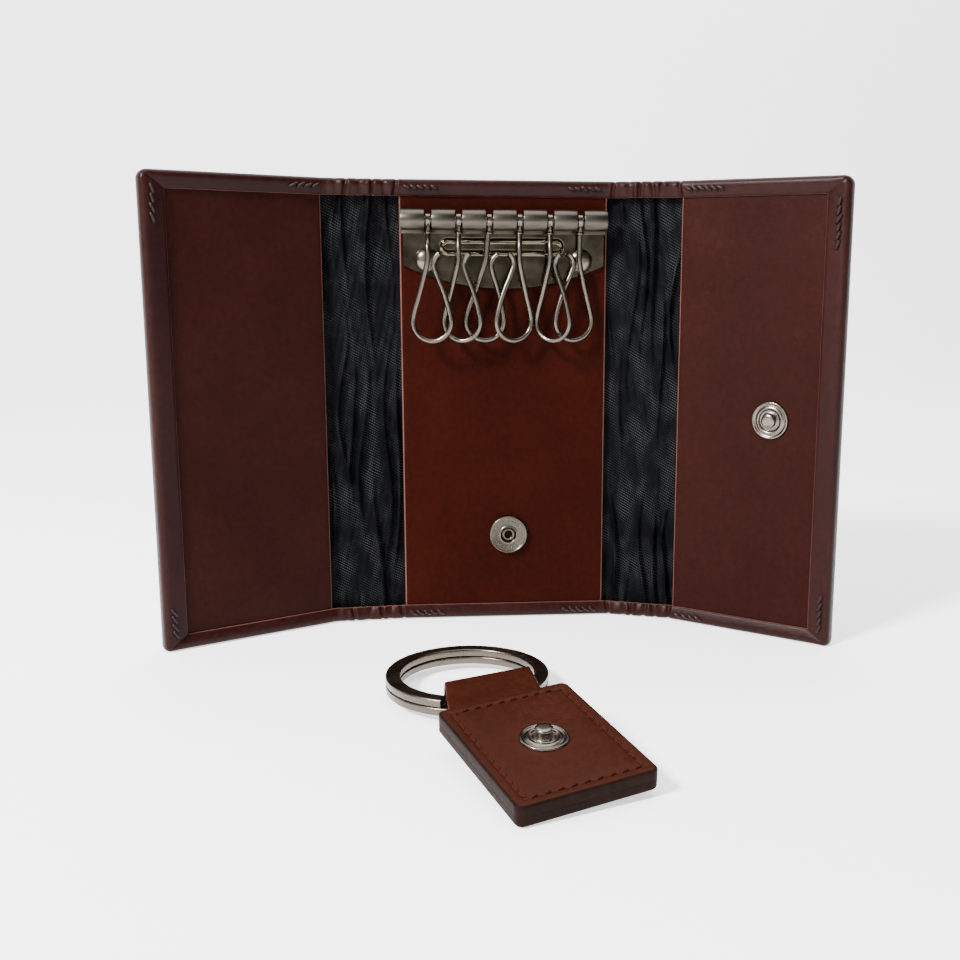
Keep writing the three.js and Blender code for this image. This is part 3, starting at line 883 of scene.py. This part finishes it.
def stitch(skin, start, end, out, radius=0.34, rise=0.3):
    """One stitch of thread that comes up through the leather, lies on it and goes down again."""
    start, end, out = (np.asarray(p, float) for p in (start, end, out))
    shares = [(0.0, -0.5), (0.03, 0.2), (0.2, 0.85), (0.5, 1.0), (0.8, 0.85), (0.97, 0.2), (1.0, -0.5)]
    path = [start + (end - start) * share + out * rise * lift for share, lift in shares]
    side_on = np.cross(end - start, out)
    sweep(skin, curve_through(path, 13), round_section(radius, 8), side_on)


def hem_stitches():
    """Short bars of tacking stitches, near the corners and where the strips begin."""
    rng = random.Random(3)
    runs = {
        "centre": [
            ((-22.0, 98.1), (-14.6, 98.1), 5), ((14.2, 98.1), (21.6, 98.1), 5),
            ((-22.0, 1.7), (-14.2, 1.7), 5), ((13.6, 1.7), (21.4, 1.7), 5),
        ],
        "left": [
            ((41.0, 98.1), (47.6, 98.1), 4), ((76.4, 97.0), (76.6, 89.5), 4),
            ((76.4, 3.0), (76.6, 9.5), 4),
        ],
        "right": [
            ((41.4, 98.1), (50.4, 98.1), 6), ((75.9, 95.4), (75.9, 85.2), 6),
            ((75.9, 3.2), (75.9, 11.4), 5), ((41.4, 1.7), (48.2, 1.7), 4),
        ],
    }
    for name, bars in runs.items():
        side = {"left": LEFT, "right": RIGHT}.get(name)
        skin = Skin()
        for first, last, count in bars:
            first, last = np.array(first), np.array(last)
            step = (last - first) / count
            sideways = np.array((step[1], -step[0])) / np.linalg.norm(step)
            for index in range(count):
                tilt = sideways * rng.uniform(0.2, 0.45)
                a = first + step * (index + 0.06) - tilt
                b = first + step * (index + 0.94) + tilt
                ends = np.array([(s, HEM_FRONT - 0.02, z) for s, z in (a, b)])
                above = ends[:1] + np.array([0, -1, 0])
                if side:
                    ends, above = side.fold(ends), side.fold(above)
                stitch(skin, ends[0], ends[1], above[0] - ends[0])
        body = side.bodies[3] if side else "centre"
        skin.piece(f"hem_stitches_{name}", [CASE_THREAD], "cover_leather", body, sharp=60)


# ==== Key plate

PLATE_FRONT = -0.8
SHEET = 0.7
PLATE_SIDE_Z = 81.3
ARC_DEPTH = 4.9
TAB_FOOT = 88.7


def plate_bottom(x):
    radius = (PLATE_HALF**2 + ARC_DEPTH**2) / (2 * ARC_DEPTH)
    return PLATE_SIDE_Z - ARC_DEPTH + radius - np.sqrt(radius**2 - np.asarray(x) ** 2)


def stamped_ridge(x, z):
    """A long rounded ridge pressed round the middle of the plate."""
    middle, half, bend = 85.5, 12.0, 1.3
    away = np.hypot(np.clip(np.abs(x + 0.45) - half, 0, None), z - middle)
    return 0.3 * np.exp(-(((away - bend) / 0.28) ** 2))


def key_plate():
    skin = Skin()
    xs = np.linspace(-PLATE_HALF, PLATE_HALF, 240)
    shares = np.linspace(0, 1, 70)
    bottom = plate_bottom(xs)
    edge = 0.12
    back = PLATE_FRONT + SHEET

    def within(x, inset):
        return np.clip(x, -PLATE_HALF + inset, PLATE_HALF - inset)

    for y in (PLATE_FRONT, back):
        z = bottom[None, :] + edge + (TAB_FOOT - bottom[None, :] - edge) * shares[:, None]
        x = np.broadcast_to(within(xs, edge), z.shape)
        relief = stamped_ridge(x, z) if y == PLATE_FRONT else 0
        skin.add(np.stack([x, y - relief + 0 * z, z], axis=-1))
    rim = [(PLATE_FRONT, edge), (PLATE_FRONT + edge, 0), (back - edge, 0), (back, edge)]
    skin.add([[(within(x, inset), y, z + inset) for x, z in zip(xs, bottom)] for y, inset in rim])
    heights = bottom[0] + (TAB_FOOT - bottom[0]) * shares
    for sign in (-1, 1):
        skin.add([
            [(sign * (PLATE_HALF - inset), y, max(z, bottom[0] + inset)) for z in heights]
            for y, inset in rim
        ])
    skin.add([[(within(x, edge), y, TAB_FOOT) for x in xs] for y in (PLATE_FRONT, back)])
    skin.piece("key_plate_body", [PLATE_NICKEL], "nickel", "centre", sharp=30, replaces="key_plate")
    for index in range(7):
        knuckle(index)


def knuckle(index):
    """Sheet rolled forward over the rod and down its front, its edge left just clear of the plate."""
    middle = (index - 3) * HOOK_PITCH
    centre_y = PLATE_FRONT + SHEET / 2
    radius = KNUCKLE_RADIUS - SHEET / 2
    path = [(0, centre_y, TAB_FOOT - 0.4), (0, centre_y - 0.12, ROD_Z - 0.8)]
    for turn in np.radians(np.linspace(22, 246, 36)):
        path.append((0, ROD_Y + radius * cos(turn), ROD_Z + radius * sin(turn)))
    section = bevelled_section(SHEET, KNUCKLE_LENGTH, 0.12, 2)
    skin = Skin()
    sweep(skin, curve_through(path, 70) + np.array([middle, 0, 0]), section, (1, 0, 0))
    skin.piece(f"knuckle_{index + 1}", [SATIN_NICKEL], "nickel", "centre", sharp=30)


def rivets():
    dome = soft_profile([
        (0, 2.15), (0.9, 2.08), (1.7, 1.85), (2.3, 1.45), (2.65, 1.0), (2.68, 0.85), (2.4, 0.8),
        (2.4, 0.7), (0, 0.7),
    ], 3)
    tail = [(0, -1.5), (2.0, -1.5), (2.0, -1.15), (1.1, -1.15), (1.1, 0.7), (0, 0.7)]
    for name, x in (("left", -RIVET_X), ("right", RIVET_X)):
        grids = [turned(profile, (x, 0, RIVET_Z)) for profile in (dome, tail)]
        turned_piece(f"rivet_{name}", grids, BRIGHT_NICKEL, "centre", f"plate_rivet_{name}", 35)


# ==== Hooks

WIRE_RADIUS = 0.575
LAYER_STEP = 1.5
# Each hook's layer, counted forward from the plate, the side of its free end, its lean and its twist.
HOOKS = [(2, 1, 0.9, 8), (1, 1, 1.0, 20), (0, 1, 5.4, 0), (1, -1, 1.2, 20), (1, 1, 0.8, 35), (0, -1, 0.9, 12)]
LOOP_RADIUS = 4.2
EYE_RADIUS = 1.28


def hook_path(x, layer, side, lean, twist):
    """Centre line of one wire: down the stem, round the loop and up to the curled free end."""
    points = [(0, 2.3), (0, 2.9), (0, 5.5), (-0.05, 8.6), (-0.85, 12.3), (-2.0, 16.7), (-2.95, 20.1)]
    for turn in np.radians(range(180, -1, -30)):
        points.append((1.0 + LOOP_RADIUS * cos(turn), 21.9 + LOOP_RADIUS * sin(turn)))
    points += [(4.65, 18.9), (3.4, 15.0), (1.9, 11.4), (1.3, 9.3), (1.75, 7.9), (2.7, 6.9)]
    lean, twist = radians(lean), radians(twist)
    line = []
    for sideways, down in points:
        forward = layer * LAYER_STEP * float(smooth(down, 2.9, 6.3)) + sideways * sin(twist)
        reach = side * sideways * cos(twist)
        across = reach * cos(lean) - down * sin(lean)
        drop = down * cos(lean) + reach * sin(lean)
        line.append((x + across, ROD_Y - forward, ROD_Z - drop))
    return line


def hooks():
    """Each wire, and the eye on the rod with the collar that the wire hangs in."""
    collar = soft_profile([
        (0.0, 0.9), (0.6, 0.9), (0.72, 1.2), (0.72, 2.5), (0.86, 2.6), (0.86, 2.8), (0.66, 2.95),
        (0.0, 2.95),
    ], 2)
    turn = np.linspace(0, 2 * pi, 40, endpoint=False)
    around = round_section(1, 24)
    for number, hook in enumerate(HOOKS, 1):
        x = (number - 3.5) * HOOK_PITCH
        body = f"hook_{number}"
        skin = Skin()
        path = curve_through(hook_path(x, *hook), 150)
        sweep(skin, path, round_section(WIRE_RADIUS, 14), (0, 1, 0.001), round_ends=0.35)
        wire = f"hook_wire_{number}"
        skin.piece(f"{body}_wire", [NICKEL], "nickel", body, sharp=50, replaces=wire)
        skin = Skin()
        y, z = ROD_Y + EYE_RADIUS * np.cos(turn), ROD_Z + EYE_RADIUS * np.sin(turn)
        loop = np.stack([np.full(len(turn), x), y, z], axis=1)
        sweep(skin, loop, bevelled_section(0.5, 1.1, 0.15, 2), (1, 0, 0), closed=True)
        skin.tube([
            [(x + radius * u, ROD_Y + radius * v, ROD_Z - down) for u, v in around]
            for radius, down in collar
        ])
        eye = f"hook_swivel_{number}"
        skin.piece(f"{body}_eye", [BRIGHT_NICKEL], "nickel", body, sharp=40, replaces=eye)


def rod():
    skin = Skin()
    path = [(x, ROD_Y, ROD_Z) for x in np.linspace(-PLATE_HALF + 0.1, PLATE_HALF - 0.1, 60)]
    sweep(skin, path, round_section(ROD_RADIUS, 20), (0, 0, 1), round_ends=0.4)
    skin.piece("knuckle_rod", [NICKEL], "nickel", "centre", replaces="hook_rod")


# ==== Snap fasteners


# The beads on the middle socket stand on a circle of this radius.
BEAD_CIRCLE = 3.15


def socket_profile(height):
    """A rolled ring: a rim, a dished ring with a bright edge, and the hole in the middle."""
    h = height / 1.3
    raised = [
        (4.45, 0.6), (4.38, 1.02), (4.22, 1.2), (4.02, 1.2), (3.9, 1.08), (3.4, 1.1), (2.6, 1.12),
        (2.2, 1.12), (2.1, 1.2), (1.95, 1.28), (1.8, 1.2), (1.72, 0.9),
    ]
    raised = [(radius, rise * h) for radius, rise in raised]
    return soft_profile([(4.45, 0.02), *raised, (1.75, 0.02), (4.45, 0.02)], 3)


def flap_snap_point(node, side):
    """Where a fastener sits on the flat leather: its distance out from the centre, and its height."""
    low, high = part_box(node)
    middle = from_world((low + high) / 2)[:2]
    flat = np.linspace(side.panel_edge, side.end, 800)
    stands = side.fold(np.stack([flat, np.full(800, BACK + 0.4), np.full(800, FLAP_SNAP_Z)], axis=1))
    nearest = np.argmin(np.hypot(stands[:, 0] - middle[0], stands[:, 1] - middle[1]))
    return flat[nearest], FLAP_SNAP_Z


def stud_profile(height):
    """A rimmed base, a raised ring inside it, and a post with a bulged head."""
    return soft_profile([
        (0, 0.05), (4.1, 0.05), (4.1, 0.3), (4.0, 0.52), (3.75, 0.56), (3.5, 0.4), (3.3, 0.34), (3.1, 0.5),
        (2.75, 0.66), (2.45, 0.55), (2.3, 0.3), (1.9, 0.28), (1.5, 0.5), (1.42, height - 0.8),
        (1.6, height - 0.45), (1.45, height - 0.15), (1.0, height), (0, height + 0.02),
    ], 3)


def cap_profile(rise):
    """A low dome."""
    return soft_profile([
        (0, 0.05), (5.0, 0.05), (4.98, rise * 0.35), (4.6, rise * 0.7), (3.0, rise * 0.93), (0, rise),
    ])


def snaps():
    x, z = CENTRE_SNAP
    beads = []
    bead = [(0, 0), (0.24, 0), (0.22, 0.12), (0.12, 0.2), (0, 0.22)]
    for turn in np.radians(np.arange(0, 360, 15)):
        place = (x + BEAD_CIRCLE * cos(turn), -1.02, z + BEAD_CIRCLE * sin(turn))
        beads.append(turned(bead, place, 10))
    socket = turned(socket_profile(1.3), (x, 0, z), 64)
    turned_piece("centre_socket", [socket, *beads], NICKEL, "centre", "centre_snap_socket")
    flared = soft_profile([
        (0.88, -1.4), (0.88, 0.75), (1.0, 0.9), (1.3, 0.85), (1.66, 0.62), (1.7, 0.3), (1.7, -1.4),
        (0.88, -1.4),
    ], 3)
    eyelet = turned(flared, (x, 0, z), 40)
    turned_piece("centre_eyelet", [eyelet], NICKEL, "centre", "centre_snap_eyelet", 38)

    s, z = flap_snap_point("left_flap_snap_socket", LEFT)
    socket = LEFT.fold(turned(socket_profile(0.8), (s, BACK, z), 64, True))
    turned_piece("flap_socket", [socket], NICKEL, "left_flap", "left_flap_snap_socket")
    s = RIGHT.panel_edge + STUD_FROM_EDGE
    stud = RIGHT.fold(turned(stud_profile(1.9), (s, 0, FLAP_SNAP_Z), 64))
    turned_piece("flap_stud", [stud], BRIGHT_NICKEL, "right_flap", "right_flap_snap_stud")
    cap = RIGHT.fold(turned(cap_profile(1.1), (s, BACK, FLAP_SNAP_Z), 64, True))
    turned_piece("flap_cap", [cap], BRIGHT_NICKEL, "right_flap", "right_flap_snap_cap")


# ==== Fob

FOB_X, FOB_Y = -4.0, -105.6
FOB_YAW, FOB_PITCH, FOB_ROLL = 22.2, 7, 3
FOB_WIDTH = 24.6
FOB_LENGTH = 31.6
FOB_THICK = 3.7
FOB_CORNER = 1.3
FOB_SEAM = 1.95
STRAP_THICK = 1.1
STRAP_ROUNDING = 0.28


def fob_place(points):
    """From the fob's own frame, its near left corner at 0 and z up through it, to the case's."""
    turn = (
        Matrix.Rotation(radians(FOB_YAW), 3, "Z")
        @ Matrix.Rotation(radians(FOB_PITCH), 3, "X")
        @ Matrix.Rotation(radians(-FOB_ROLL), 3, "Y")
    )
    return np.asarray(points, float) @ np.array(turn).T + np.array([FOB_X, FOB_Y, 0])


def outline(inset, count):
    """The fob's outline, inset from its edge, as points anticlockwise from the near right corner."""
    radius = max(FOB_CORNER - inset, 0.05)
    near, right, far = inset + radius, FOB_WIDTH - inset - radius, FOB_LENGTH - inset - radius
    points = []
    for quarter, (x, y) in enumerate([(right, near), (right, far), (near, far), (near, near)]):
        for step in range(count):
            angle = radians(-90 + 90 * quarter + 90 * step / (count - 1))
            points.append((x + radius * cos(angle), y + radius * sin(angle)))
    return np.array(points + points[:1])


def spaced(ring, spacing):
    """Points along a closed outline at an even spacing."""
    along = lengths_along(ring)
    wanted = np.linspace(0, along[-1], int(along[-1] / spacing), endpoint=False)
    return np.stack([np.interp(wanted, along, ring[:, axis]) for axis in range(2)], axis=1)


def ring_at(inset, z, count=220):
    """As many points round the outline at any inset, so that rings join one to one."""
    ring = outline(inset, 15)
    angle = np.unwrap(np.arctan2(ring[:, 1] - FOB_LENGTH / 2, ring[:, 0] - FOB_WIDTH / 2))
    wanted = np.linspace(angle[0], angle[0] + 2 * pi, count, endpoint=False)
    x, y = (np.interp(wanted, angle, ring[:, axis]) for axis in range(2))
    return fob_place(np.stack([x, y, np.full(count, z)], axis=1))


def fob_layer(name, low, high, round_top, round_bottom, node):
    """One leather layer of the fob, its cut edge painted dark and its face sunk along the seam."""
    turns = np.radians(np.linspace(0, 90, 6))
    edge = [(round_bottom * (1 - sin(a)), low + round_bottom * (1 - cos(a))) for a in turns]
    edge += [(round_top * (1 - cos(a)), high - round_top * (1 - sin(a))) for a in turns]
    sunk = [
        (round_top, 0), (0.9, 0), (1.3, 0), (1.6, 0.05), (1.8, 0.12), (FOB_SEAM, 0.15), (2.1, 0.12),
        (2.3, 0.05), (2.6, 0), (4.5, -0.03), (7, -0.06), (10, -0.08),
    ]
    skin = Skin()
    skin.tube([ring_at(inset, z) for inset, z in edge], kind=1)
    face = [ring_at(inset, high - depth) for inset, depth in sunk]
    skin.tube(face)
    skin.fan(face[-1])
    skin.fan(ring_at(round_bottom, low))
    skin.piece(name, [FOB_FACE, FOB_EDGE], "fob_leather", "fob", sharp=50, replaces=node)


def fob_slab():
    """The two layers are pressed together and painted, so the joint between them hardly shows."""
    seam = FOB_THICK / 2
    fob_layer("fob_back", 0.0, seam - 0.005, 0.03, 0.6, "fob_back_leather")
    fob_layer("fob_front", seam + 0.005, FOB_THICK, 0.38, 0.03, "fob_front_leather")


def fob_stitches():
    """A running seam all round, sunk in its groove."""
    skin = Skin()
    rng = random.Random(5)
    ring = spaced(outline(FOB_SEAM, 9), 2.2)
    z = FOB_THICK - 0.2
    for a, b in zip(ring, np.roll(ring, -1, axis=0)):
        gap = (b - a) * 0.22
        sideways = np.array((-(b - a)[1], (b - a)[0])) * rng.uniform(0.04, 0.1)
        start = np.array([*(a + gap - sideways), z])
        end = np.array([*(b - gap + sideways), z])
        ends = fob_place([start, end])
        out = fob_place([start + np.array([0, 0, 1])])[0] - ends[0]
        stitch(skin, ends[0], ends[1], out, 0.27, 0.14)
    skin.piece("fob_stitches", [FOB_THREAD], "fob_leather", "fob", sharp=60)


def fob_loop():
    """A strap of the fob's leather, from its far edge round the ring and back underneath."""
    half = STRAP_THICK / 2
    top_z, low_z = 7.0, 0.05
    radius = (top_z - low_z) / 2
    bend = radius - half
    lines = []
    for across, far in ((2.6, (-14.2, -58.9)), (19.6, (1.4, -51.8))):
        top, edge, bottom = fob_place([
            (across, FOB_LENGTH - 0.8, FOB_THICK + 0.03), (across, FOB_LENGTH + 0.25, FOB_THICK - 0.05),
            (across, FOB_LENGTH + 0.2, 0),
        ])
        span = np.linalg.norm(far - bottom[:2])
        direction = (far - bottom[:2]) / span
        turn = span - radius
        profile = [(np.dot(place[:2] - bottom[:2], direction), place[2] - half) for place in (top, edge)]
        profile += [(turn * 0.35, edge[2] - 0.55 - half), (turn * 0.72, top_z + 0.35 - half)]
        for a in np.radians(np.linspace(0, 180, 13)):
            profile.append((turn + bend * sin(a), low_z + radius + bend * cos(a)))
        profile += [(turn * 0.35, low_z + half), (0.0, bottom[2] + half)]
        line = curve_through([(*(bottom[:2] + direction * along), z) for along, z in profile], 90)
        line[:, 2] = np.maximum(line[:, 2], half + low_z)
        lines.append(line)
    left, right = lines
    wide = right - left
    normal = np.cross(wide, np.gradient((left + right) / 2, axis=0))
    normal /= np.linalg.norm(normal, axis=1, keepdims=True)
    shares = np.linspace(0, 1, 27)
    swell = STRAP_ROUNDING / np.linalg.norm(wide[0])
    edge = [(swell * cos(a), half * sin(a)) for a in np.radians(np.linspace(60, -60, 5))]
    section = [(t, half) for t in shares] + [(1 + out, lift) for out, lift in edge]
    section += [(t, -half) for t in shares[::-1]] + [(-out, lift) for out, lift in edge[::-1]]
    rings = [
        [start + width * t + up * lift for t, lift in section]
        for start, width, up in zip(left, wide, normal)
    ]
    skin = Skin()
    skin.tube(rings, capped=True)
    skin.piece("fob_loop", [FOB_FACE], "fob_leather", "fob", sharp=40, replaces="fob_ring_loop")


def fob_snap():
    def upward(grid):
        """Stands a piece turned about the origin up through the middle of the fob."""
        x, y = grid[..., 0] + FOB_WIDTH / 2, grid[..., 2] + FOB_LENGTH / 2
        return fob_place(np.stack([x, y, -grid[..., 1]], axis=-1))

    stud = upward(turned(stud_profile(2.3), (0, -FOB_THICK + 0.05, 0), 64))
    turned_piece("fob_stud", [stud], BRIGHT_NICKEL, "fob", "fob_snap_stud")
    cap = upward(turned(cap_profile(0.9), (0, 0, 0), 64, True))
    turned_piece("fob_cap", [cap], BRIGHT_NICKEL, "fob", "fob_snap_cap")


# ==== Split ring

RING_X, RING_Y = -9.95, -49.4
RING_BOTTOM = 1.3
RING_RADIUS = 14.3
RING_WIDTH = 2.8
COIL = 1.5
COIL_STEP = 1.6
JOG_AZIMUTH = -65
JOG_HALF = 0.12


def split_ring():
    """Nearly two turns of flat wire, which step up from one coil to the other at the jog."""
    turns = np.linspace(JOG_HALF, 2 - JOG_HALF, 420)
    azimuth = np.radians(JOG_AZIMUTH + 360 * turns)
    x, y = RING_X + RING_RADIUS * np.cos(azimuth), RING_Y + RING_RADIUS * np.sin(azimuth)
    z = RING_BOTTOM + COIL / 2 + COIL_STEP * smooth(turns, 1 - JOG_HALF, 1 + JOG_HALF)
    skin = Skin()
    section = bevelled_section(RING_WIDTH, COIL, 0.3, 4)
    sweep(skin, np.stack([x, y, z], axis=1), section, (0, 0, 1), round_ends=0.35)
    skin.piece("double_ring", [NICKEL], "nickel", "split_ring", sharp=40, replaces="split_ring")


# ==== Camera, light and floor


def stage():
    behind, bend, top = 0.45, 0.35, 2.4
    profile = [(-1.2, 0.0), (behind, 0.0)]
    for turn in np.radians(np.linspace(0, 90, 16)):
        profile.append((behind + bend * sin(turn), bend - bend * cos(turn)))
    profile.append((behind + bend, top))
    points = [(x, y, z) for y, z in profile for x in (-2.5, 2.5)]
    faces = [(2 * i, 2 * i + 1, 2 * i + 3, 2 * i + 2) for i in range(len(profile) - 1)]
    mesh = bpy.data.meshes.new("floor")
    mesh.from_pydata(points, [], faces)
    mesh.shade_smooth()
    shader = Shader("pale_floor", (0.9, 0.9, 0.9), 0.9, Specular_IOR_Level=0.1, Emission_Strength=1.15)
    mesh.materials.append(shader.use(Emission_Color=(1, 1, 1, 1)))
    put_in_scene("floor", mesh)

    world = bpy.data.worlds.new("studio")
    bpy.context.scene.world = world
    world.use_nodes = True
    background = world.node_tree.nodes["Background"]
    background.inputs["Color"].default_value = (1.0, 1.0, 1.0, 1)
    background.inputs["Strength"].default_value = 0.17

    soft_light("top", (0.0, 0.15, 1.0), 0.9, 0.9, 13.0)
    soft_light("key", (-0.45, -0.36, 0.5), 0.13, 0.13, 21.0)
    soft_light("front", (0.0, -0.85, 0.2), 1.6, 0.1, 1.6)


def soft_light(name, place, width, height, power):
    data = bpy.data.lights.new(name, "AREA")
    data.shape = "RECTANGLE"
    data.size, data.size_y = width, height
    data.energy = power
    light = put_in_scene(name, data)
    light.location = place
    aim = Vector((0, 0.02, 0.04)) - light.location
    light.rotation_euler = aim.to_track_quat("-Z", "Y").to_euler()


def camera():
    data = bpy.data.cameras.new("camera")
    data.sensor_width = 36.0
    data.lens = 43.23
    data.shift_x = -0.0722
    data.clip_start, data.clip_end = 0.01, 10
    eye = put_in_scene("camera", data)
    eye.location = to_world((-14.7, -261.9, 81.4))
    turn = (
        Matrix.Rotation(radians(-5.49), 4, "Z")
        @ Matrix.Rotation(radians(90 - 10.52), 4, "X")
        @ Matrix.Rotation(radians(0.32), 4, "Z")
    )
    eye.rotation_euler = turn.to_euler()
    bpy.context.scene.camera = eye


# ==== Assembly


def recolour(node, material):
    """Gives a CAD node that stays in the scene its finished look."""
    materials = frame["nodes"][node].data.materials
    materials.clear()
    materials.append(material)


outer_leather()
inner_leather()
lining()
hem_stitches()
key_plate()
rivets()
rod()
hooks()
snaps()
fob_slab()
fob_stitches()
fob_loop()
fob_snap()
split_ring()
for panel in ("centre", "left_flap", "right_flap"):
    recolour(f"board_{panel}", BOARD)
recolour("left_flap_snap_eyelet", NICKEL)
stage()
camera()
